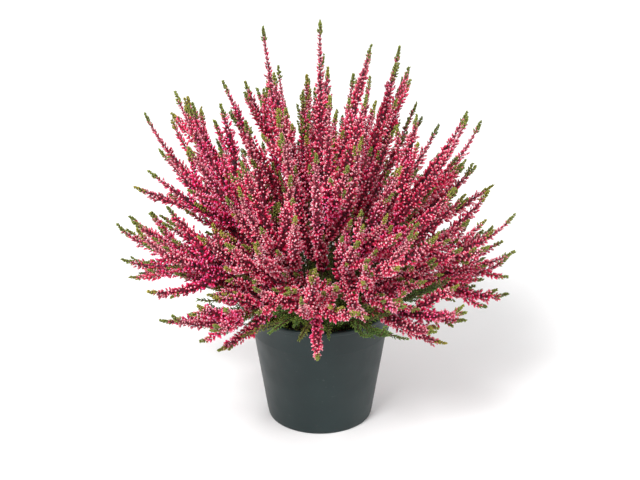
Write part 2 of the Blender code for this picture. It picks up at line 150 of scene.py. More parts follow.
# Buds: their size, how close they stand on a spike, how far off its axis and at what lean in degrees
BLOOM_SHARES = (0.0, 0.55, 0.76, 0.90, 1.0)
BLOOM_RADII = (6.0 * MM, 5.8 * MM, 4.7 * MM, 3.0 * MM, 1.8 * MM)
BUD_LENGTH = 4.3 * MM
BUD_WIDTH = 2.15 * MM
BUD_SWELL = 1.25
BUD_NARROWING = 0.5
BUD_SHRINK = 0.35
BUD_LENGTHS = (0.75, 1.15)
BUD_WIDTHS = (0.85, 1.15)
BUDS_PER_RADIUS = 0.255
BUDS_GAIN = 0.9
BUD_TURN_STRAY = (-0.5, 0.5)
BUD_INSET = 3.1 * MM
BUD_LEAST_ROOM = 0.2 * MM
BUD_FEET = (0.3, 1.0)
BUD_LEAN = 50
BUD_LEAN_DROP = 14
BUD_LEAN_STRAY = (-24, 24)
TINTS = 4
TINT_STRAY = 0.20
FADED = (-0.16, 0.36)
TIP_FADE = 0.45
YOUNG_SHARES = (0.58, 0.92)
YOUNG_TINT = 0.85
# The dark tube of painted shade inside each spike: its inset within the buds' reach, its least radius and its
# step
CORE_INSET = 3.7 * MM
CORE_LEAST = 0.5 * MM
CORE_STEP = 8 * MM
SIDE_BARE = 4 * MM

# Sprigs of buds beside a spike
SPRIG_STEP = 4.2 * MM
SPRIG_STEP_STRAY = (0.7, 1.3)
SPRIG_BUDS = 4
SPRIG_BARE = 0.45
SPRIG_INSET = 2.0 * MM
SPRIG_LENGTHS = (0.75, 1.1)
SPRIG_LEANS = (32, 58)
SPRIG_TURN = 2.0
SPRIG_SPLAY = (0.7, 1.3)
SPRIG_SPLAY_STRAY = (-0.2, 0.3)
SPRIGS_END = 0.78

# Budded branchlets between the spikes
BRANCHLETS = 0.54
BRANCHLET_HEIGHTS = (0.22, 0.68)
BRANCHLET_LENGTHS = (24 * MM, 46 * MM)
BRANCHLET_FORKS = (7 * MM, 11 * MM)
BRANCHLET_FAN = (2 * MM, 8 * MM)
BRANCHLET_SHARES = (0.0, 0.6, 1.0)
BRANCHLET_RADII = (4.4 * MM, 4.1 * MM, 2.3 * MM)
BRANCHLET_CROWD = 1.35
BRANCHLET_BARE = 3 * MM
BRANCHLET_TIP_SHARE = 0.6

# Wood: its radius at foot and tip, and the length of its steps. It ends a little short of a leafy tip
STEM_WOOD = (0.9 * STEM_RADIUS, 0.8 * MM, 5 * MM)
SPIKE_WOOD = (0.8 * MM, 0.3 * MM, 9 * MM)
SIDE_WOOD = (0.6 * MM, 0.3 * MM, 6 * MM)
RIM_WOOD = (0.8 * STEM_RADIUS, 0.3 * MM, 5 * MM)
LOW_WOOD = (0.5 * MM, 0.25 * MM, 4 * MM)
TWIG_WOOD = (0.4 * MM, 0.25 * MM, 4 * MM)
WOOD_SHORT = 1 * MM
WOOD_ROOT = 4 * MM
LEAST_STEPS = 3

# Leaves: how far apart their pairs stand, their length and width, and their lean at foot and tip
TIP_LEAF = (3.2 * MM, 1.7 * MM)
NEEDLE = (4.0 * MM, 1.15 * MM)
SPIKE_TIP = (0.85 * MM, TIP_LEAF, (44, 12))
BRANCHLET_TIP = (0.9 * MM, TIP_LEAF, (44, 12))
EXTRA_TIP = (1.1 * MM, TIP_LEAF, (46, 14))
STEM_LEAVES = (1.4 * MM, NEEDLE, (50, 40))
STEM_TWIG_LEAVES = (1.1 * MM, NEEDLE, (50, 24))
SHOOT_LEAVES = (1.5 * MM, NEEDLE, (62, 48))
SHOOT_TIP = (1.1 * MM, NEEDLE, (50, 14))
RIM_LEAVES = (1.0 * MM, NEEDLE, (54, 22))
RIM_SIDE_LEAVES = (1.0 * MM, NEEDLE, (52, 20))
RIM_TWIG_LEAVES = (1.1 * MM, NEEDLE, (52, 26))
LOW_LEAVES = (1.1 * MM, NEEDLE, (56, 28))
TIP_LENGTH = 8 * MM
TIP_OVERLAP = 2 * MM
TIP_LEAF_FULLEST = 0.45
NEEDLE_FULLEST = 0.4
LEAF_FLATNESS = 0.8
LEAF_END = 0.1
LEAF_SHRINK = 0.35
LEAF_LENGTHS = (0.7, 1.25)
LEAF_TURN_STRAY = (-0.5, 0.5)
LEAF_LEAN_STRAY = (0.6, 1.4)
LEAF_STEP_STRAY = (-0.4, 0.4)
LEAF_FOOT_OUT = 0.3 * MM
LEAVES_FROM = 2 * MM
TWIG_BARE = 1 * MM
SHOOT_BUSHY = 0.6
SHOOT_TIP_FROM = 0.5

# Leafy twigs: how many, where they leave, how far they stand off and how long they are
EXTRA_TIPS = 0.50
EXTRA_HEIGHTS = (0.05, 0.75)
EXTRA_FORKS = (0.0, 1.5 * MM)
EXTRA_LENGTHS = (9 * MM, 15 * MM)
STEM_TWIGS = 7
STEM_TWIG_FROM = STEM_FOOT + 2 * MM
STEM_TWIG_PAST = 12 * MM
STEM_TWIG_FORKS = (5 * MM, 12 * MM)
STEM_TWIG_LENGTHS = (16 * MM, 34 * MM)
RIM_TWIGS = 6
RIM_LEAFY_FROM = STEM_FOOT + 4 * MM
RIM_TWIG_END = 0.95
RIM_TWIG_FORKS = (3 * MM, 9 * MM)
RIM_TWIG_LENGTHS = (10 * MM, 20 * MM)
LOW_TWIGS = 54
LOW_TWIG_TURN_STRAY = (-0.4, 0.4)
LOW_TWIG_FEET = (34 * MM, 46 * MM)
LOW_TWIG_REACH = (46 * MM, 62 * MM)
LOW_TWIG_RISE = (5 * MM, 17 * MM)
LOW_TWIG_FOOT_LEAN = (0.1, 0.5)
LOW_TWIG_TIP_LEAN = (0.6, 1.3)

# Crumbs on the peat: their sizes, and their lumps, flatness and rise as shares of these
PEAT_CRUMBS = 420
CRUMB_SIZES = (1.0 * MM, 3.4 * MM)
CRUMB_LUMPS = (0.75, 1.2)
CRUMB_FLATNESS = (0.6, 1.0)
CRUMB_RISE = 0.1
CRUMB_INSET = 3 * MM

# The pot's softened edges: steps out and up from a corner, in millimetres
RIM_TOP = ((-1.9, 0.0), (-0.9, -0.1), (-0.2, -0.5), (0.0, -1.1))
RIM_UNDER = ((0.0, 0.4), (-0.3, 0.0))
COLLAR_TOP = ((0.3, -0.2), (0.0, -0.9))
COLLAR_END = ((-0.35, 1.0), (-0.6, 0.2), (-1.2, 0.0))
BODY_TOP = ((0.1, -0.1), (-0.1, -0.8))
BASE_EDGE = ((0.0, 1.4), (-0.3, 0.4), (-1.0, 0.0))
INNER_BASE = ((-0.8, 0.0), (0.0, 0.8))
INNER_STEP = ((0.0, 1.5),)
INNER_RIM = ((0.0, -1.6), (0.3, -0.6), (0.9, 0.0))
LOW_WALL = 5 * MM
FOOT_WIDTH = 4 * MM
FOOT_SLOPE = 1 * MM
DRAIN_CUT = 12 * MM
DRAIN_SIDES = 24
FINE_STEPS = 120
TOUCHING = 0.01 * MM
SHARP_ANGLE = math.radians(50)

# Colours along a bud, from its foot to its lips
DEEP_BUD = (
    (0.0, (0.12, 0.003, 0.014)),
    (0.28, (0.54, 0.008, 0.050)),
    (0.74, (0.88, 0.019, 0.125)),
    (0.87, (0.92, 0.26, 0.33)),
    (0.96, (0.98, 0.88, 0.86)),
)
YOUNG_BUD = (
    (0.0, (0.10, 0.030, 0.026)),
    (0.45, (0.40, 0.085, 0.120)),
    (0.85, (0.62, 0.240, 0.265)),
    (1.0, (0.88, 0.690, 0.650)),
)
PALE_BUD = (
    (0.0, (0.20, 0.012, 0.030)),
    (0.30, (0.60, 0.042, 0.105)),
    (0.66, (0.80, 0.170, 0.250)),
    (0.82, (0.92, 0.600, 0.640)),
    (0.92, (0.98, 0.920, 0.910)),
)

# Colours along a leaf, from its foot to its tip
SPIKE_TIP_GREENS = ((0.0, (0.030, 0.040, 0.006)), (0.5, (0.125, 0.150, 0.016)), (1.0, (0.31, 0.33, 0.045)))
STEM_GREENS = ((0.0, (0.016, 0.028, 0.005)), (0.5, (0.080, 0.115, 0.012)), (1.0, (0.24, 0.27, 0.035)))
RIM_GREENS = ((0.0, (0.014, 0.032, 0.006)), (0.5, (0.080, 0.165, 0.020)), (1.0, (0.25, 0.41, 0.060)))

# Patterns: the scale and detail of the noise, then the colours that it gives
HOT_PATCHES = (19.0, 2.0)
HOT_SHARES = ((0.50, (0.0, 0.0, 0.0)), (0.62, (0.75, 0.75, 0.75)))
HOT_PINK = (1.12, 0.35, 1.25)
BUD_DRIFT = (34.0, 2.0)
BUD_DRIFTS = ((0.36, (0.74, 0.62, 0.70)), (0.60, (1.0, 1.0, 1.0)))
# The buds' feet inside a spike are painted shade: a fine grain, then dark reds to near black
SHADED_FEET_CROWD = (520.0, 3.0)
SHADED_FEET_REDS = ((0.40, (0.020, 0.002, 0.005)), (0.53, (0.14, 0.005, 0.022)), (0.68, (0.42, 0.018, 0.075)))
LEAF_DRIFT = (22.0, 3.0)
LEAF_DRIFTS = ((0.32, (0.60, 0.68, 0.60)), (0.50, (0.95, 1.0, 0.9)), (0.66, (1.55, 1.18, 0.95)))
BARK_GRAIN = (900.0, 5.0)
BARK_BROWNS = ((0.3, (0.055, 0.028, 0.018)), (0.7, (0.23, 0.115, 0.075)))
PEAT_GRAIN = (420.0, 8.0)
PEAT_BROWNS = ((0.32, (0.008, 0.005, 0.004)), (0.55, (0.034, 0.021, 0.014)), (0.78, (0.105, 0.066, 0.042)))
SLATE_CLOUD = (22.0, 4.0)
SLATE_GREYS = ((0.30, (0.006, 0.0155, 0.016)), (0.72, (0.012, 0.0245, 0.025)))
DUST_SPECKS = (340.0, 6.0)
DUST_SHARES = ((0.66, (0.0, 0.0, 0.0)), (0.80, (0.28, 0.28, 0.28)))
DUST_GREY = (0.085, 0.090, 0.086)
WEAR = (75.0, 5.0)
WORN_ROUGHNESS = (0.34, 0.58)
MOULD_GRAIN = (1500.0, 3.0)
SLATE_SPECULAR = 0.35

# Bumps: strength and depth
SHADED_FEET_BUMP = (1.0, 1.2 * MM)
BARK_BUMP = (0.5, 0.3 * MM)
PEAT_GRAIN_BUMP = (1.0, 1.6 * MM)
MOULD_BUMP = (0.12, 0.2 * MM)

# A piece's second and third materials. Its first is its wood, or the crowded feet of its buds, coloured dark
# as painted shade
TOP_LOOK = 1
NEEDLE_LOOK = 2

# A colour Mix node's sockets: its factor and two colours, and its result
MIX_INPUTS = (0, 6, 7)
MIX_RESULT = 2

# The studio: lights as name, place, power and size
LIGHTS = (
    ("key_light", (-0.7, -1.3, 1.7), 50.0, 0.7),
    ("fill_light", (1.4, -0.8, 0.9), 8.0, 1.2),
    ("back_light", (0.3, 1.5, 1.5), 16.0, 1.2),
)
LIGHTS_AIM = Vector((0, 0, 0.15))
SKY_STRENGTH = 0.55
FLOOR_REACH = 6.0
FLOOR_GREY = 0.88
CAMERA_RISE = math.radians(25)
CAMERA_DISTANCE = 1.5
CAMERA_AIM = Vector((0.0, 0.0, 0.138))
CAMERA_LENS = 118


def frames(points):
    """Ahead, side and third direction at each point, carried along the path without twist."""
    ahead = np.gradient(points, axis=0)
    ahead /= np.linalg.norm(ahead, axis=1)[:, None]
    side = BENT_SIDE
    sides = []
    for tangent in ahead:
        side = side - tangent * np.dot(side, tangent)
        side /= np.linalg.norm(side)
        sides.append(side)
    sides = np.array(sides)
    return ahead, sides, np.cross(ahead, sides)


def bow(start, start_tilt, end, end_tilt, count=60):
    """Points (radius, height) of a bowed line that leaves and arrives at the tilts given from upright."""
    span = math.dist(start, end)
    hold = BOW_HOLD * span
    first = (start[0] + hold * math.sin(start_tilt), start[1] + hold * math.cos(start_tilt))
    second = (end[0] - hold * math.sin(end_tilt), end[1] - hold * math.cos(end_tilt))
    line = []
    for step in range(count + 1):
        t = step / count
        weights = ((1 - t) ** 3, 3 * t * (1 - t) ** 2, 3 * t * t * (1 - t), t**3)
        line.append([sum(w * p[k] for w, p in zip(weights, (start, first, second, end))) for k in (0, 1)])
    return line


class Line:
    """A path in space measured by its length. Past its end it runs straight on."""

    def __init__(self, points):
        self.points = np.array(points, dtype=float)
        steps = np.linalg.norm(np.diff(self.points, axis=0), axis=1)
        self.marks = np.concatenate([[0.0], np.cumsum(steps)])
        self.length = float(self.marks[-1])

    def at(self, distance):
        if distance >= self.length:
            way = self.points[-1] - self.points[-2]
            return self.points[-1] + way / np.linalg.norm(way) * (distance - self.length)
        return np.array([np.interp(distance, self.marks, self.points[:, k]) for k in range(3)])

    def ahead(self, distance):
        way = self.at(distance + 1 * MM) - self.at(max(0.0, distance - 1 * MM))
        return way / np.linalg.norm(way)


def from_peat(flat, turn):
    """A bowed line stood at a turn about the pot's axis, with its straight foot sunk in the peat."""
    line = Line([(math.cos(turn) * radius, math.sin(turn) * radius, height) for radius, height in flat])
    foot = line.points[0] - line.ahead(0.0) * STEM_FOOT
    return Line(np.vstack([foot, line.points]))


def side_line(parent, leave, length, turn, fork, fan):
    """A side shoot that leaves its parent, bends up beside it and fans slowly away."""
    way = parent.ahead(leave)
    side = np.cross(way, BENT_SIDE)
    side /= np.linalg.norm(side)
    third = np.cross(way, side)
    out = math.cos(turn) * side + math.sin(turn) * third
    points = []
    for share in np.linspace(0, 1, SIDE_POINTS):
        away = fork * (1 - math.exp(-share * length / FORK_LENGTH)) + fan * share
        points.append(parent.at(leave + SIDE_AHEAD * share * length) + out * away)
    return Line(points)


def spike_radius(share):
    """Bud reach along a spike, full below its middle, slim above it and least at its leafy tip."""
    return float(np.interp(share, SPIKE_SHARES, SPIKE_RADII))


def leaf_radius(share):
    return LEAF_RADIUS * (1 - LEAF_THINNING * share)


def beads(line, start, radius_of):
    """Balls along a line that its buds stay within, for finding free room."""
    marks = np.linspace(start, line.length, max(2, int((line.length - start) / BEAD_STEP)))
    places = np.array([line.at(mark) for mark in marks])
    radii = np.array([radius_of((mark - start) / (line.length - start)) for mark in marks])
    return places, radii


class Space:
    """The balls that the lines placed so far fill, each with its owner."""

    def __init__(self):
        self.places, self.radii, self.owners = np.zeros((0, 3)), np.zeros(0), np.zeros(0)

    def take(self, owner, places, radii):
        self.places = np.vstack([self.places, places])
        self.radii = np.concatenate([self.radii, radii])
        self.owners = np.concatenate([self.owners, np.full(len(radii), owner)])

    def gap(self, places, radii, chosen):
        """The least gap between these balls and the chosen ones."""
        if not chosen.any():
            return 1.0
        apart = np.linalg.norm(places[:, None, :] - self.places[None, chosen, :], axis=2)
        return float((apart - radii[:, None] - self.radii[None, chosen]).min())

    def freest(self, owner, draw, tries, radius_of, lowest=0.0, root=0.3, mercy=0.0, gain=0.0):
        """The drawn line with the most room, which it then takes, or None where no draw is clear.

        A root share of it may meet its own plant part, and the rest may by a mercy. Length counts by a gain.
        """
        own = self.owners == owner
        best_score, best = CLEAR, None
        for _ in range(tries):
            line = draw()
            places, radii = beads(line, 0.0, radius_of)
            past = round(root * len(places))
            free = min(self.gap(places, radii, ~own), self.gap(places[past:], radii[past:], own) + mercy)
            score = free + gain * line.length
            if places[:, 2].min() > lowest and free > CLEAR and score > best_score:
                best_score, best = score, (line, places, radii)
        if best is None:
            return None
        self.take(owner, best[1], best[2])
        return best[0]


def take_rim(space):
    """Keeps the pot's rim clear."""
    turns = [2 * math.pi * step / RIM_BEADS for step in range(RIM_BEADS)]
    middle, height = RIM_RADIUS - RIM_BEAD_INSET, POT_HEIGHT - RIM_BEAD_INSET
    places = [(math.cos(turn) * middle, math.sin(turn) * middle, height) for turn in turns]
    space.take(-1, np.array(places), np.full(RIM_BEADS, RIM_BEAD_RADIUS))


def middle_lines(chance, space):
    """The middle line of every spray, spread evenly over the plant's round top."""
    sprays = []
    for number in range(SPRAYS):
        share = number / (SPRAYS - 1)
        tilt = math.acos(1 - share * (1 - math.cos(WIDEST_TILT))) * chance.uniform(*TILT_STRAY)
        turn = number * GOLDEN + chance.uniform(*TURN_STRAY)
        reach = SIDE_REACH + (TOP_REACH - SIDE_REACH) * math.cos(tilt)
        reach *= chance.uniform(*REACH_STRAY)
        start = (STEM_SPREAD * math.sqrt(share), PEAT_TOP + STEM_STRAIGHT)
        end = (reach * math.sin(tilt), PEAT_TOP + TIP_LIFT + reach * math.cos(tilt))
        line = from_peat(bow(start, FOOT_LEAN * tilt, end, TIP_LEAN * tilt), turn)
        first_bud = STEM_FOOT + (BARE_OUTSIDE + (BARE_INSIDE - BARE_OUTSIDE) * math.cos(tilt)) * reach
        space.take(number, *beads(line, first_bud, spike_radius))
        stem = Line([line.at(mark) for mark in np.linspace(STEM_BURIED, first_bud, STEM_POINTS)])
        space.take(number, *beads(stem, 0.0, leaf_radius))
        sprays.append({"line": line, "first_bud": first_bud, "sides": [], "shoots": [], "tilt": tilt})
    return sprays


def add_side_spikes(chance, space, sprays, rank):
    """One more side spike on each spray. The last ranks are short, low and only on sprays that lean."""
    low = rank >= SIDE_SPIKES
    height = SIDE_HEIGHT if low else SIDE_HEIGHT + SIDE_HEIGHT_STEP * rank
    lengths, forks = (LOW_LENGTHS, LOW_FORKS) if low else (SIDE_LENGTHS, SIDE_FORKS)
    middle_turn, turn_stray = (UPWARD, LOW_TURN_STRAY) if low else (rank * GOLDEN, SIDE_TURN_STRAY)
    for number, spray in enumerate(sprays):
        line, first_bud = spray["line"], spray["first_bud"]

        def draw():
            rise = (line.length - first_bud) * height * chance.uniform(*SIDE_HEIGHT_STRAY)
            leave = first_bud + SIDE_FIRST + rise
            length = (line.length - leave) * chance.uniform(*lengths)
            turn = middle_turn + chance.uniform(*turn_stray)
            return side_line(line, leave, length, turn, chance.uniform(*forks), chance.uniform(*SIDE_FAN))

        if low and spray["tilt"] < LOW_TILT:
            continue
        side = space.freest(number, draw, SPIKE_TRIES, spike_radius, SPIKE_LOWEST, SPIKE_ROOT, SPIKE_MERCY)
        if side:
            spray["sides"].append(side)


def add_leafy_shoots(chance, space, sprays):
    """A green side shoot low on each stem, kept clear of every spike."""
    for number, spray in enumerate(sprays):
        line, low = spray["line"], STEM_FOOT + LEAFY_FIRST

        def draw():
            leave = low + (spray["first_bud"] - low) * chance.uniform(*LEAFY_HEIGHTS)
            length = (line.length - leave) * chance.uniform(*LEAFY_LENGTHS)
            turn = chance.uniform(0, 2 * math.pi)
            fork = chance.uniform(*LEAFY_FORKS)
            return side_line(line, leave, length, turn, fork, chance.uniform(*LEAFY_FAN))

        side = space.freest(number, draw, LEAFY_TRIES, leaf_radius, LEAFY_LOWEST, gain=LENGTH_GAIN)
        if side:
            spray["shoots"].append(side)


def rim_shoots(chance, space):
    """Shoots without flowers that lean out over the rim, in the freest places round it."""
    shoots = []
    for number in range(RIM_SHOOTS):
        owner = SPRAYS + number

        def draw():
            turn = (number + chance.uniform(0, 1)) * 2 * math.pi / RIM_SHOOTS
            start = (RIM_SHOOT_FOOT + chance.uniform(*RIM_FOOT_STRAY), PEAT_TOP + STEM_STRAIGHT)
            end = (chance.uniform(*RIM_REACH), POT_HEIGHT + chance.uniform(*RIM_RISE))
            return from_peat(bow(start, RIM_FOOT_LEAN, end, chance.uniform(*RIM_LEAN)), turn)

        line = space.freest(owner, draw, RIM_TRIES, leaf_radius)
        if line:
            shoots.append({"line": line, "sides": [], "owner": owner})
    for shoot in shoots:
        line = shoot["line"]

        def draw_side():
            leave = line.length * chance.uniform(*RIM_SIDE_HEIGHTS)
            length = (line.length - leave) * chance.uniform(*RIM_SIDE_LENGTHS)
            turn = chance.uniform(0, 2 * math.pi)
            return side_line(line, leave, length, turn, chance.uniform(*RIM_FORKS), chance.uniform(*RIM_FAN))

        for _ in range(RIM_SHOOT_SIDES):
            side = space.freest(shoot["owner"], draw_side, LEAFY_TRIES, leaf_radius)
            if side:
                shoot["sides"].append(side)
    return shoots


def lay_out():
    """Every line of the plant, placed by the same seeded rule as the solids."""
    chance = random.Random(SEED)
    space = Space()
    take_rim(space)
    sprays = middle_lines(chance, space)
    shoots = rim_shoots(chance, space)
    for rank in range(SIDE_SPIKES + LOW_SPIKES):
        add_side_spikes(chance, space, sprays, rank)
    add_leafy_shoots(chance, space, sprays)
    return sprays, shoots


class Finish:
    """A material as it is made. Its patterns lie on Object coordinates."""

    def __init__(self, name, roughness):
        self.material = bpy.data.materials.new(name)
        self.material.use_nodes = True
        self.nodes, self.links = self.material.node_tree.nodes, self.material.node_tree.links
        self.shader = self.nodes["Principled BSDF"]
        self.shader.inputs["Roughness"].default_value = roughness

    def noise(self, scale, detail):
        """Soft random waves through the piece."""
        place = self.nodes.new("ShaderNodeTexCoord")
        made = self.nodes.new("ShaderNodeTexNoise")
        made.inputs["Scale"].default_value = scale
        made.inputs["Detail"].default_value = detail
        self.links.new(place.outputs["Object"], made.inputs["Vector"])
        return made.outputs["Fac"]

    def attribute(self, name):
        made = self.nodes.new("ShaderNodeAttribute")
        made.attribute_name = name
        return made.outputs["Fac"]

    def ramp(self, value, stops):
        """The colours that a value gives, by stops of place and colour."""
        made = self.nodes.new("ShaderNodeValToRGB")
        elements = made.color_ramp.elements
        while len(elements) < len(stops):
            elements.new(0.5)
        for element, (place, colour) in zip(elements, stops):
            element.position = place
            element.color = (*colour, 1.0)
        self.links.new(value, made.inputs["Fac"])
        return made.outputs["Color"]

    def mix(self, blend, factor, first, second):
        """A colour mix. Each of the three inputs is a socket or a plain value."""
        made = self.nodes.new("ShaderNodeMix")
        made.data_type = "RGBA"
        made.blend_type = blend
        for place, value in zip(MIX_INPUTS, (factor, first, second)):
            if isinstance(value, bpy.types.NodeSocket):
                self.links.new(value, made.inputs[place])
            elif isinstance(value, tuple):
                made.inputs[place].default_value = (*value, 1.0)
            else:
                made.inputs[place].default_value = value
        return made.outputs[MIX_RESULT]

    def paint(self, colour):
        self.links.new(colour, self.shader.inputs["Base Color"])

    def bump(self, height, strength, depth):
        made = self.nodes.new("ShaderNodeBump")
        made.inputs["Strength"].default_value = strength
        made.inputs["Distance"].default_value = depth
        self.links.new(height, made.inputs["Height"])
        self.links.new(made.outputs["Normal"], self.shader.inputs["Normal"])


def bud_finish():
    """Burgundy at a bud's foot, crimson along it and nearly white at its lips. Young buds are mauve-brown."""
    bud = Finish("heather_bud", roughness=0.5)
    along = bud.attribute("along")
    hot = bud.ramp(bud.noise(*HOT_PATCHES), HOT_SHARES)
    deep = bud.mix("MULTIPLY", hot, bud.ramp(along, DEEP_BUD), HOT_PINK)
    colour = bud.mix("MIX", bud.attribute("tint"), deep, bud.ramp(along, PALE_BUD))
    colour = bud.mix("MULTIPLY", 1.0, colour, bud.ramp(bud.noise(*BUD_DRIFT), BUD_DRIFTS))
    bud.paint(bud.mix("MIX", bud.attribute("young"), colour, bud.ramp(along, YOUNG_BUD)))
    return bud.material


def shaded_bud_feet_finish():
    """The crowded feet of the buds, seen between them, in dark reds to near black as painted shade between
    the buds.
    """
    shaded_feet = Finish("heather_bud_feet_painted_shade", roughness=0.8)
    crowd = shaded_feet.noise(*SHADED_FEET_CROWD)
    shaded_feet.paint(shaded_feet.ramp(crowd, SHADED_FEET_REDS))
    shaded_feet.bump(crowd, *SHADED_FEET_BUMP)
    return shaded_feet.material


def leaf_finish(name, greens):
    """Small leaves that run from dark at their foot to light at their tip."""
    leaf = Finish(name, roughness=0.55)
    drift = leaf.ramp(leaf.noise(*LEAF_DRIFT), LEAF_DRIFTS)
    leaf.paint(leaf.mix("MULTIPLY", 1.0, leaf.ramp(leaf.attribute("along"), greens), drift))
    return leaf.material


def bark_finish():
    bark = Finish("heather_bark", roughness=0.8)
    grain = bark.noise(*BARK_GRAIN)
    bark.paint(bark.ramp(grain, BARK_BROWNS))
    bark.bump(grain, *BARK_BUMP)
    return bark.material


def peat_finish():
    peat = Finish("damp_peat", roughness=0.95)
    grain = peat.noise(*PEAT_GRAIN)
    peat.paint(peat.ramp(grain, PEAT_BROWNS))
    peat.bump(grain, *PEAT_GRAIN_BUMP)
    return peat.material


def pot_finish():
    """Moulded slate-grey plastic with a fine grain, faint scuffs and a little dust."""
    slate = Finish("slate_plastic", roughness=0.42)
    slate.shader.inputs["Specular IOR Level"].default_value = SLATE_SPECULAR
    specks = slate.ramp(slate.noise(*DUST_SPECKS), DUST_SHARES)
    slate.paint(slate.mix("MIX", specks, slate.ramp(slate.noise(*SLATE_CLOUD), SLATE_GREYS), DUST_GREY))
    worn = slate.nodes.new("ShaderNodeMapRange")
    worn.inputs["To Min"].default_value, worn.inputs["To Max"].default_value = WORN_ROUGHNESS
    slate.links.new(slate.noise(*WEAR), worn.inputs["Value"])
    slate.links.new(worn.outputs["Result"], slate.shader.inputs["Roughness"])
    slate.bump(slate.noise(*MOULD_GRAIN), *MOULD_BUMP)
    return slate.material


def finished(name, bm, materials, node_names, smooth=True):
    """Makes the piece's object, rides it on the root and hides the solids that it stands for."""
    for face in bm.faces:
        face.smooth = smooth
    mesh = bpy.data.meshes.new(name)
    bm.to_mesh(mesh)
    bm.free()
    for look in materials:
        mesh.materials.append(look)
    piece = bpy.data.objects.new(name, mesh)
    bpy.context.scene.collection.objects.link(piece)
    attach(piece, "root")
    if node_names:
        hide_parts(*node_names)
    return piece


def template(bm, name, look=0, tint=0.0, young=0.0):
    """A small shape on the origin along +Z, to be set down many times. It keeps its heights as along."""
    mesh = bpy.data.meshes.new(name)
    for face in bm.faces:
        face.material_index = look
        face.smooth = True
    along = bm.verts.layers.float.new("along")
    tinted = bm.verts.layers.float.new("tint")
    fresh = bm.verts.layers.float.new("young")
    top = max(vertex.co.z for vertex in bm.verts)
    for vertex in bm.verts:
        vertex[along] = max(0.0, vertex.co.z / top)
        vertex[tinted] = tint
        vertex[fresh] = young
    bm.to_mesh(mesh)
    bm.free()
    return mesh


def bud_shape(tint, young=0.0):
    """A closed bud: slim at its stalk, fullest below its middle and drawn in to its lips."""
    bm = bmesh.new()
    bmesh.ops.create_uvsphere(bm, u_segments=4, v_segments=3, radius=0.5)
    for vertex in bm.verts:
        height = vertex.co.z + 0.5
        swell = BUD_SWELL - BUD_NARROWING * height
        vertex.co = (vertex.co.x * swell, vertex.co.y * swell, height)
    return template(bm, "bud", TOP_LOOK, tint, young)


def leaf_shape(look, fullest):
    """A pointed needle, a little flattened, fullest at a share of its height."""
    bm = bmesh.new()
    bmesh.ops.create_uvsphere(bm, u_segments=4, v_segments=2, radius=0.5)
    for vertex in bm.verts:
        height = vertex.co.z + 0.5
        vertex.co.z = fullest if LEAF_END < height < 1 - LEAF_END else height
        vertex.co.y *= LEAF_FLATNESS
    return template(bm, "leaf", look)


def place_of(where, way, spin, length, width):
    """The transform that stands a template at a point along a way, spun about it and sized."""
    way = Vector(way).normalized()
    turn = Vector((0, 0, 1)).rotation_difference(way).to_matrix().to_4x4()
    size = Matrix.Diagonal((width, width, length, 1.0))
    return Matrix.Translation(Vector(where)) @ turn @ Matrix.Rotation(spin, 4, "Z") @ size


def set_down(bm, shape, place):
    """Adds a copy of the template at its place."""
    shape.transform(place)
    bm.from_mesh(shape)
    shape.transform(place.inverted())


class Stalks:
    """Woody lines of one piece, drawn as bevelled curves."""

    def __init__(self):
        self.curve = bpy.data.curves.new("stalks", "CURVE")
        self.curve.dimensions = "3D"
        self.curve.bevel_depth = 1.0
        self.curve.bevel_resolution = 1
        self.curve.use_fill_caps = True

    def shape(self, line, start, end, step, radius_at):
        """A stretch of a line, with its radius from the distance along it."""
        count = max(LEAST_STEPS, round((end - start) / step))
        spline = self.curve.splines.new("POLY")
        spline.points.add(count)
        for k, point in enumerate(spline.points):
            mark = start + (end - start) * k / count
            point.co = (*line.at(mark), 1.0)
            point.radius = radius_at(mark)

    def draw(self, line, start, end, foot, tip, step):
        """A stalk that thins evenly from its foot to its tip."""
        self.shape(line, start, end, step, lambda mark: foot + (tip - foot) * (mark - start) / (end - start))

    def into(self, bm):
        """Adds the stalks to a piece's mesh."""
        holder = bpy.data.objects.new("stalks", self.curve)
        bpy.context.scene.collection.objects.link(holder)
        bpy.context.view_layer.update()
        mesh = bpy.data.meshes.new_from_object(holder.evaluated_get(bpy.context.evaluated_depsgraph_get()))
        bm.from_mesh(mesh)
        bpy.data.objects.remove(holder, do_unlink=True)


def bloom_reach(share):
    """How far the buds stand out along a spike, full almost to its tip."""
    return float(np.interp(share, BLOOM_SHARES, BLOOM_RADII))


def branchlet_reach(share):
    return float(np.interp(share, BRANCHLET_SHARES, BRANCHLET_RADII))


def shaded_core_radius(share):
    """The reach of the dark tube round a spike's axis that stands for the crowded bud feet, coloured as
    painted shade.
    """
    return max(CORE_LEAST, bloom_reach(share) - CORE_INSET)


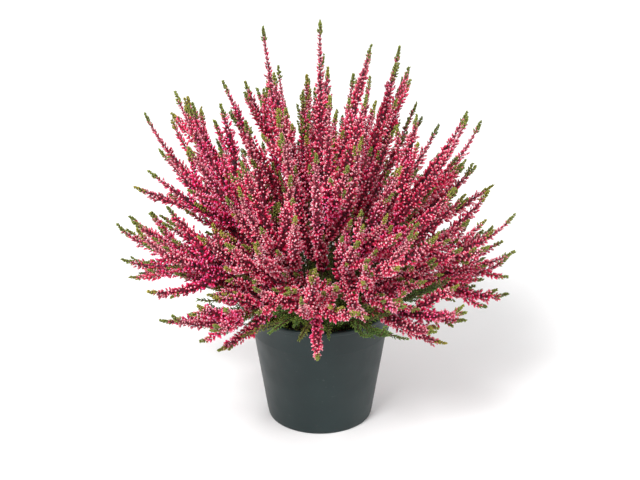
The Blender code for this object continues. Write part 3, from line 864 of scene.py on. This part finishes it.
def add_buds(chance, bm, buds, line, start, end, reach_of, sprigs_end, crowding=1.0):
    """Buds in a loose spiral up a spike, between small sprigs of buds that thin out towards its tip."""
    whole = line.length - start
    marks = [start]
    while marks[-1] < end:
        share = (marks[-1] - start) / whole
        crowd = crowding * BUDS_PER_RADIUS * (1 + BUDS_GAIN * share**3) * reach_of(share) / MM
        marks.append(marks[-1] + MM / crowd)
    turn = chance.uniform(0, 2 * math.pi)
    faded = chance.uniform(*FADED)
    points = np.array([line.at(mark) for mark in marks])
    ahead, sides, thirds = frames(points)
    next_sprig = start
    for k, mark in enumerate(marks):
        share = (mark - start) / whole
        turn += GOLDEN + chance.uniform(*BUD_TURN_STRAY)
        out = math.cos(turn) * sides[k] + math.sin(turn) * thirds[k]
        room = max(BUD_LEAST_ROOM, reach_of(share) - BUD_INSET)
        foot = points[k] + out * room * chance.uniform(*BUD_FEET)
        lean = math.radians(BUD_LEAN - BUD_LEAN_DROP * share + chance.uniform(*BUD_LEAN_STRAY))
        way = math.sin(lean) * out + math.cos(lean) * ahead[k]
        add_bud(chance, bm, buds, foot, way, turn, share, faded)
        if mark >= next_sprig and share < sprigs_end:
            next_sprig += SPRIG_STEP * chance.uniform(*SPRIG_STEP_STRAY)
            side = -math.sin(turn + SPRIG_TURN) * sides[k] + math.cos(turn + SPRIG_TURN) * thirds[k]
            add_sprig(chance, bm, buds, points[k], ahead[k], side, reach_of(share), share, faded)


def add_bud(chance, bm, buds, foot, way, turn, share, faded):
    """One bud, smaller and paler towards its spike's tip, and paler on a faded spike. Some are young."""
    shrink = 1.0 - BUD_SHRINK * share
    length = BUD_LENGTH * shrink * chance.uniform(*BUD_LENGTHS)
    width = BUD_WIDTH * shrink * chance.uniform(*BUD_WIDTHS)
    tint = min(TINTS - 1, int(TINTS * max(0.0, chance.gauss(faded + TIP_FADE * share, TINT_STRAY))))
    if chance.uniform(*YOUNG_SHARES) < share:
        tint = TINTS
    set_down(bm, buds[tint], place_of(foot, way, turn, length, width))


def add_sprig(chance, bm, buds, foot, ahead, side, reach, share, faded):
    """A short side twig's buds, set to either side of it and one at its end."""
    lean = math.radians(chance.uniform(*SPRIG_LEANS))
    way = math.sin(lean) * side + math.cos(lean) * ahead
    across = np.cross(way, side)
    across /= np.linalg.norm(across)
    length = (reach - SPRIG_INSET) / math.sin(lean) * chance.uniform(*SPRIG_LENGTHS)
    last = SPRIG_BUDS - 1
    for number in range(SPRIG_BUDS):
        place = foot + way * length * (SPRIG_BARE + (1 - SPRIG_BARE) * number / last)
        splay = 0.0 if number == last else (1 if number % 2 else -1) * chance.uniform(*SPRIG_SPLAY)
        points_to = way + across * splay + side * chance.uniform(*SPRIG_SPLAY_STRAY)
        add_bud(chance, bm, buds, place, points_to, lean, share, faded)


def add_leaves(chance, bm, leaf, line, start, end, pitch, size, leans):
    """Leaves in crossed pairs up a shoot, from the first lean at its foot to the second at its tip."""
    count = max(2, round((end - start) / pitch))
    marks = np.linspace(start, end, count)
    points = np.array([line.at(mark) for mark in marks])
    ahead, sides, thirds = frames(points)
    first = chance.uniform(0, math.pi)
    for k in range(count):
        share = k / (count - 1)
        lean = math.radians(leans[0] + (leans[1] - leans[0]) * share)
        for half in range(2):
            turn = first + math.pi / 2 * k + math.pi * half + chance.uniform(*LEAF_TURN_STRAY)
            out = math.cos(turn) * sides[k] + math.sin(turn) * thirds[k]
            tilt = lean * chance.uniform(*LEAF_LEAN_STRAY)
            way = math.sin(tilt) * out + math.cos(tilt) * ahead[k]
            length = size[0] * (1 - LEAF_SHRINK * share) * chance.uniform(*LEAF_LENGTHS)
            foot = points[k] + out * LEAF_FOOT_OUT + ahead[k] * pitch * chance.uniform(*LEAF_STEP_STRAY)
            set_down(bm, leaf, place_of(foot, way, turn, length, size[1]))


def add_twig(chance, line, leave, length, fork, greens, stalks, leaf, leaves):
    """A short leafy twig beside a line."""
    twig = side_line(line, leave, length, chance.uniform(0, 2 * math.pi), fork, 0.0)
    stalks.draw(twig, 0.0, twig.length - WOOD_SHORT, *TWIG_WOOD)
    add_leaves(chance, greens, leaf, twig, TWIG_BARE, twig.length, *leaves)


def add_branchlet(chance, spike, start, flowers, greens, stalks, shapes):
    """A short budded side shoot that fills the room between spikes."""
    leave = start + chance.uniform(*BRANCHLET_HEIGHTS) * (spike.length - start)
    length = min(chance.uniform(*BRANCHLET_LENGTHS), spike.length - leave - TIP_LENGTH)
    turn = chance.uniform(0, 2 * math.pi)
    fork = chance.uniform(*BRANCHLET_FORKS)
    line = side_line(spike, leave, length, turn, fork, chance.uniform(*BRANCHLET_FAN))
    end = line.length - BRANCHLET_TIP_SHARE * TIP_LENGTH
    stalks.draw(line, 0.0, line.length - WOOD_SHORT, *SIDE_WOOD)
    buds, crowd = shapes["buds"], BRANCHLET_CROWD
    add_buds(chance, flowers, buds, line, BRANCHLET_BARE, end, branchlet_reach, 0.0, crowd)
    add_leaves(chance, greens, shapes["tip_leaf"], line, end - TIP_OVERLAP, line.length, *BRANCHLET_TIP)


def dress_spike(chance, spike, start, flowers, greens, shaded_cores, stalks, shapes):
    """The buds of one spike round a dark tube of painted shade for their crowded feet, its leafy tip, and
    short shoots beside it.
    """
    end = spike.length - TIP_LENGTH
    whole = spike.length - start
    # A dark tube along the spike, painted shade seen between the buds
    shaded_cores.shape(spike, start, end, CORE_STEP, lambda mark: shaded_core_radius((mark - start) / whole))
    stalks.draw(spike, max(0.0, start - WOOD_ROOT), spike.length - WOOD_SHORT, *SPIKE_WOOD)
    add_buds(chance, flowers, shapes["buds"], spike, start, end, bloom_reach, SPRIGS_END)
    leaf = shapes["tip_leaf"]
    add_leaves(chance, greens, leaf, spike, end - TIP_OVERLAP, spike.length - WOOD_SHORT, *SPIKE_TIP)
    while chance.random() < EXTRA_TIPS:
        leave = end - chance.uniform(*EXTRA_HEIGHTS) * (end - start)
        fork = bloom_reach((leave - start) / whole) + chance.uniform(*EXTRA_FORKS)
        add_twig(chance, spike, leave, chance.uniform(*EXTRA_LENGTHS), fork, greens, stalks, leaf, EXTRA_TIP)
    while chance.random() < BRANCHLETS:
        add_branchlet(chance, spike, start, flowers, greens, stalks, shapes)


def dress_spray(number, spray, looks, chance):
    """One spray: buds on all its spikes, and its wood, leaves and leafy tips."""
    needle, tip_leaf = leaf_shape(NEEDLE_LOOK, NEEDLE_FULLEST), leaf_shape(TOP_LOOK, TIP_LEAF_FULLEST)
    buds = [bud_shape(tint / (TINTS - 1)) for tint in range(TINTS)] + [bud_shape(0.0, YOUNG_TINT)]
    shapes = {"buds": buds, "tip_leaf": tip_leaf}
    flowers, greens, stalks, shaded_cores = bmesh.new(), bmesh.new(), Stalks(), Stalks()
    line, first_bud = spray["line"], spray["first_bud"]
    stalks.draw(line, 0.0, first_bud, *STEM_WOOD)
    for spike, start in [(line, first_bud)] + [(side, SIDE_BARE) for side in spray["sides"]]:
        dress_spike(chance, spike, start, flowers, greens, shaded_cores, stalks, shapes)
    add_leaves(chance, greens, needle, line, STEM_FOOT, first_bud, *STEM_LEAVES)
    for shoot in spray["shoots"]:
        stalks.draw(shoot, 0.0, shoot.length - WOOD_SHORT, *SIDE_WOOD)
        add_leaves(chance, greens, needle, shoot, LEAVES_FROM, SHOOT_BUSHY * shoot.length, *SHOOT_LEAVES)
        add_leaves(chance, greens, tip_leaf, shoot, SHOOT_TIP_FROM * shoot.length, shoot.length, *SHOOT_TIP)
    for _ in range(STEM_TWIGS):
        leave = chance.uniform(STEM_TWIG_FROM, first_bud + STEM_TWIG_PAST)
        fork = chance.uniform(*STEM_TWIG_FORKS)
        length = chance.uniform(*STEM_TWIG_LENGTHS)
        add_twig(chance, line, leave, length, fork, greens, stalks, needle, STEM_TWIG_LEAVES)
    stalks.into(greens)
    # The dark tubes of painted shade join the buds' piece
    shaded_cores.into(flowers)
    # The buds' piece takes the painted-shade feet first, on its dark tubes, then the buds
    bloom = [looks["shaded_feet"], looks["bud"]]
    leafy = [looks["bark"], looks["tip"], looks["needle"]]
    finished(f"spray_{number:02d}_buds", flowers, bloom, [f"bloom_{number:02d}"])
    finished(f"spray_{number:02d}_greens", greens, leafy, [f"stem_{number:02d}"])


def dress_shoot(number, shoot, looks, chance):
    """A shoot without flowers, covered in needles from the peat to its tip."""
    needle = leaf_shape(TOP_LOOK, NEEDLE_FULLEST)
    greens, stalks = bmesh.new(), Stalks()
    line = shoot["line"]
    stalks.draw(line, 0.0, line.length - WOOD_SHORT, *RIM_WOOD)
    add_leaves(chance, greens, needle, line, RIM_LEAFY_FROM, line.length, *RIM_LEAVES)
    for side in shoot["sides"]:
        stalks.draw(side, 0.0, side.length - WOOD_SHORT, *SIDE_WOOD)
        add_leaves(chance, greens, needle, side, LEAVES_FROM, side.length, *RIM_SIDE_LEAVES)
    for _ in range(RIM_TWIGS):
        leave = chance.uniform(RIM_LEAFY_FROM, RIM_TWIG_END * line.length)
        fork = chance.uniform(*RIM_TWIG_FORKS)
        length = chance.uniform(*RIM_TWIG_LENGTHS)
        add_twig(chance, line, leave, length, fork, greens, stalks, needle, RIM_TWIG_LEAVES)
    stalks.into(greens)
    leafy = [looks["bark"], looks["rim_needle"]]
    finished(f"rim_shoot_{number}", greens, leafy, [f"shoot_{number}"])


def dress_rim(looks, chance):
    """Short leafy twigs that stand close together in the peat's edge and lean out to the rim."""
    needle = leaf_shape(TOP_LOOK, NEEDLE_FULLEST)
    greens, stalks = bmesh.new(), Stalks()
    for number in range(LOW_TWIGS):
        turn = (number + chance.uniform(*LOW_TWIG_TURN_STRAY)) * 2 * math.pi / LOW_TWIGS
        start = (chance.uniform(*LOW_TWIG_FEET), PEAT_TOP)
        end = (chance.uniform(*LOW_TWIG_REACH), POT_HEIGHT + chance.uniform(*LOW_TWIG_RISE))
        foot_lean = chance.uniform(*LOW_TWIG_FOOT_LEAN)
        line = from_peat(bow(start, foot_lean, end, chance.uniform(*LOW_TWIG_TIP_LEAN)), turn)
        stalks.draw(line, STEM_BURIED, line.length - WOOD_SHORT, *LOW_WOOD)
        add_leaves(chance, greens, needle, line, STEM_FOOT, line.length, *LOW_LEAVES)
    stalks.into(greens)
    finished("rim_twigs", greens, [looks["bark"], looks["rim_needle"]], [])


def wall_radius(height, inset):
    """The radius of the pot's outside at a height, less an inset."""
    if height > COLLAR_BOTTOM:
        return COLLAR_RADIUS - inset
    share = height / COLLAR_BOTTOM
    return BASE_RADIUS + (BODY_TOP_RADIUS - BASE_RADIUS) * share - inset


def edge(radius, height, steps):
    """Points near a corner of the pot's outline, by their steps out and up from it."""
    return [(radius + out * MM, height + up * MM) for out, up in steps]


def pot_outline():
    """Half of the pot cut through, from its rim down its outside, over its foot and up its inside."""
    lip_foot = POT_HEIGHT - RIM_LIP_HEIGHT
    foot_inside = BASE_RADIUS - FOOT_WIDTH
    return (
        edge(RIM_RADIUS, POT_HEIGHT, RIM_TOP)
        + edge(RIM_RADIUS, lip_foot, RIM_UNDER)
        + edge(COLLAR_RADIUS, lip_foot, COLLAR_TOP)
        + edge(COLLAR_RADIUS, COLLAR_BOTTOM, COLLAR_END)
        + edge(BODY_TOP_RADIUS, COLLAR_BOTTOM, BODY_TOP)
        + [(wall_radius(LOW_WALL, 0.0), LOW_WALL)]
        + edge(BASE_RADIUS, 0.0, BASE_EDGE)
        + [(foot_inside, 0.0), (foot_inside - FOOT_SLOPE, FOOT_RISE)]
        + [(PAD_RADIUS + FOOT_SLOPE, FOOT_RISE), (PAD_RADIUS, 0.0), (0.0, 0.0), (0.0, FLOOR)]
        + edge(wall_radius(FLOOR, WALL), FLOOR, INNER_BASE)
        + [(BODY_TOP_RADIUS - WALL, COLLAR_BOTTOM)]
        + edge(COLLAR_RADIUS - WALL, COLLAR_BOTTOM, INNER_STEP)
        + edge(COLLAR_RADIUS - WALL, POT_HEIGHT, INNER_RIM)
    )


def drain_plugs():
    """Round plugs that stand where the pot's drain holes are cut."""
    bm = bmesh.new()
    for number in range(DRAIN_HOLES):
        turn = (number + 0.5) * 2 * math.pi / DRAIN_HOLES
        middle = Vector((math.cos(turn) * DRAIN_CIRCLE, math.sin(turn) * DRAIN_CIRCLE, FLOOR / 2))
        bmesh.ops.create_cone(
            bm,
            cap_ends=True,
            segments=DRAIN_SIDES,
            radius1=DRAIN_RADIUS,
            radius2=DRAIN_RADIUS,
            depth=DRAIN_CUT,
            matrix=Matrix.Translation(middle),
        )
    mesh = bpy.data.meshes.new("drains")
    bm.to_mesh(mesh)
    bm.free()
    plugs = bpy.data.objects.new("drains", mesh)
    bpy.context.scene.collection.objects.link(plugs)
    return plugs


def dress_pot(look):
    """The pot turned finely, with a rounded rim and soft edges, and its drain holes cut."""
    bm = bmesh.new()
    ring = [bm.verts.new((radius, 0.0, height)) for radius, height in pot_outline()]
    edges = [bm.edges.new((a, b)) for a, b in zip(ring, ring[1:] + ring[:1])]
    bmesh.ops.spin(
        bm,
        geom=ring + edges,
        cent=(0, 0, 0),
        axis=(0, 0, 1),
        angle=2 * math.pi,
        steps=FINE_STEPS,
        use_merge=True,
    )
    bmesh.ops.remove_doubles(bm, verts=bm.verts, dist=TOUCHING)
    bmesh.ops.recalc_face_normals(bm, faces=bm.faces)
    pot = finished("pot_plastic", bm, [look], ["pot"])
    plugs = drain_plugs()
    holes = pot.modifiers.new("Drains", "BOOLEAN")
    holes.operation = "DIFFERENCE"
    holes.object = plugs
    holes.solver = "EXACT"
    cut = bpy.data.meshes.new_from_object(pot.evaluated_get(bpy.context.evaluated_depsgraph_get()))
    pot.modifiers.clear()
    pot.data = cut
    bpy.data.objects.remove(plugs, do_unlink=True)
    cut.set_sharp_from_angle(angle=SHARP_ANGLE)


def peat_height(x, y):
    """Crumbly ups and downs of the peat, level at its edge."""
    broad = math.sin(PEAT_BROAD[0] * x + PEAT_SHIFT) * math.cos(PEAT_BROAD[1] * y)
    fine = math.sin(PEAT_FINE[1] * y + PEAT_FINE[0] * x)
    edge_share = min(1.0, (COLLAR_RADIUS - math.hypot(x, y)) / PEAT_EDGE)
    return PEAT_TOP + PEAT_BUMP * PEAT_BUMP_SHARE * (broad + PEAT_FINE_SHARE * fine) * max(0.0, edge_share)


def dress_peat(look, chance):
    """The peat's own solid keeps its shape, under loose crumbs of several sizes."""
    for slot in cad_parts["soil"].material_slots:
        slot.material = look
    lump = bmesh.new()
    bmesh.ops.create_icosphere(lump, subdivisions=1, radius=0.5)
    for vertex in lump.verts:
        vertex.co *= chance.uniform(*CRUMB_LUMPS)
    crumb = template(lump, "crumb")
    bm = bmesh.new()
    widest = COLLAR_RADIUS - WALL - CRUMB_INSET
    for _ in range(PEAT_CRUMBS):
        radius, turn = widest * math.sqrt(chance.random()), chance.uniform(0, 2 * math.pi)
        x, y = radius * math.cos(turn), radius * math.sin(turn)
        size = chance.uniform(*CRUMB_SIZES)
        way = [chance.gauss(0, 1) for _ in range(3)]
        where = (x, y, peat_height(x, y) + CRUMB_RISE * size)
        set_down(bm, crumb, place_of(where, way, 0.0, size * chance.uniform(*CRUMB_FLATNESS), size))
    finished("peat_crumbs", bm, [look], [], smooth=False)


def add_floor():
    bm = bmesh.new()
    bmesh.ops.create_grid(bm, x_segments=1, y_segments=1, size=FLOOR_REACH)
    mesh = bpy.data.meshes.new("floor")
    bm.to_mesh(mesh)
    bm.free()
    floor = bpy.data.objects.new("floor", mesh)
    bpy.context.scene.collection.objects.link(floor)
    paper = Finish("pale_floor", roughness=0.9)
    paper.shader.inputs["Base Color"].default_value = (FLOOR_GREY, FLOOR_GREY, FLOOR_GREY, 1.0)
    mesh.materials.append(paper.material)


def aimed(thing, place, target):
    """Links a light or camera into the scene, at its place and turned to its target."""
    thing.location = place
    thing.rotation_euler = (target - thing.location).to_track_quat("-Z", "Y").to_euler()
    bpy.context.scene.collection.objects.link(thing)


def studio():
    """A plain pale floor, soft light and the photograph's angle of view."""
    add_floor()
    scene = bpy.context.scene
    scene.world = bpy.data.worlds.new("studio")
    scene.world.use_nodes = True
    sky = scene.world.node_tree.nodes["Background"]
    sky.inputs["Color"].default_value = (1.0, 1.0, 1.0, 1.0)
    sky.inputs["Strength"].default_value = SKY_STRENGTH
    for name, place, power, size in LIGHTS:
        light = bpy.data.lights.new(name, "AREA")
        light.energy = power
        light.size = size
        aimed(bpy.data.objects.new(name, light), place, LIGHTS_AIM)
    camera = bpy.data.objects.new("camera", bpy.data.cameras.new("camera"))
    camera.data.lens = CAMERA_LENS
    way_back = Vector((0.0, -math.cos(CAMERA_RISE), math.sin(CAMERA_RISE)))
    aimed(camera, CAMERA_AIM + CAMERA_DISTANCE * way_back, CAMERA_AIM)
    scene.camera = camera
    scene.view_settings.view_transform = "Standard"


def main():
    studio()
    looks = {
        "bud": bud_finish(),
        "shaded_feet": shaded_bud_feet_finish(),
        "bark": bark_finish(),
        "tip": leaf_finish("spike_tip_leaf", SPIKE_TIP_GREENS),
        "needle": leaf_finish("stem_needle", STEM_GREENS),
        "rim_needle": leaf_finish("rim_needle", RIM_GREENS),
    }
    sprays, shoots = lay_out()
    chance = random.Random(SEED + 1)
    dress_pot(pot_finish())
    dress_peat(peat_finish(), chance)
    for number, spray in enumerate(sprays, 1):
        dress_spray(number, spray, looks, chance)
    for number, shoot in enumerate(shoots, 1):
        dress_shoot(number, shoot, looks, chance)
    dress_rim(looks, chance)


main()
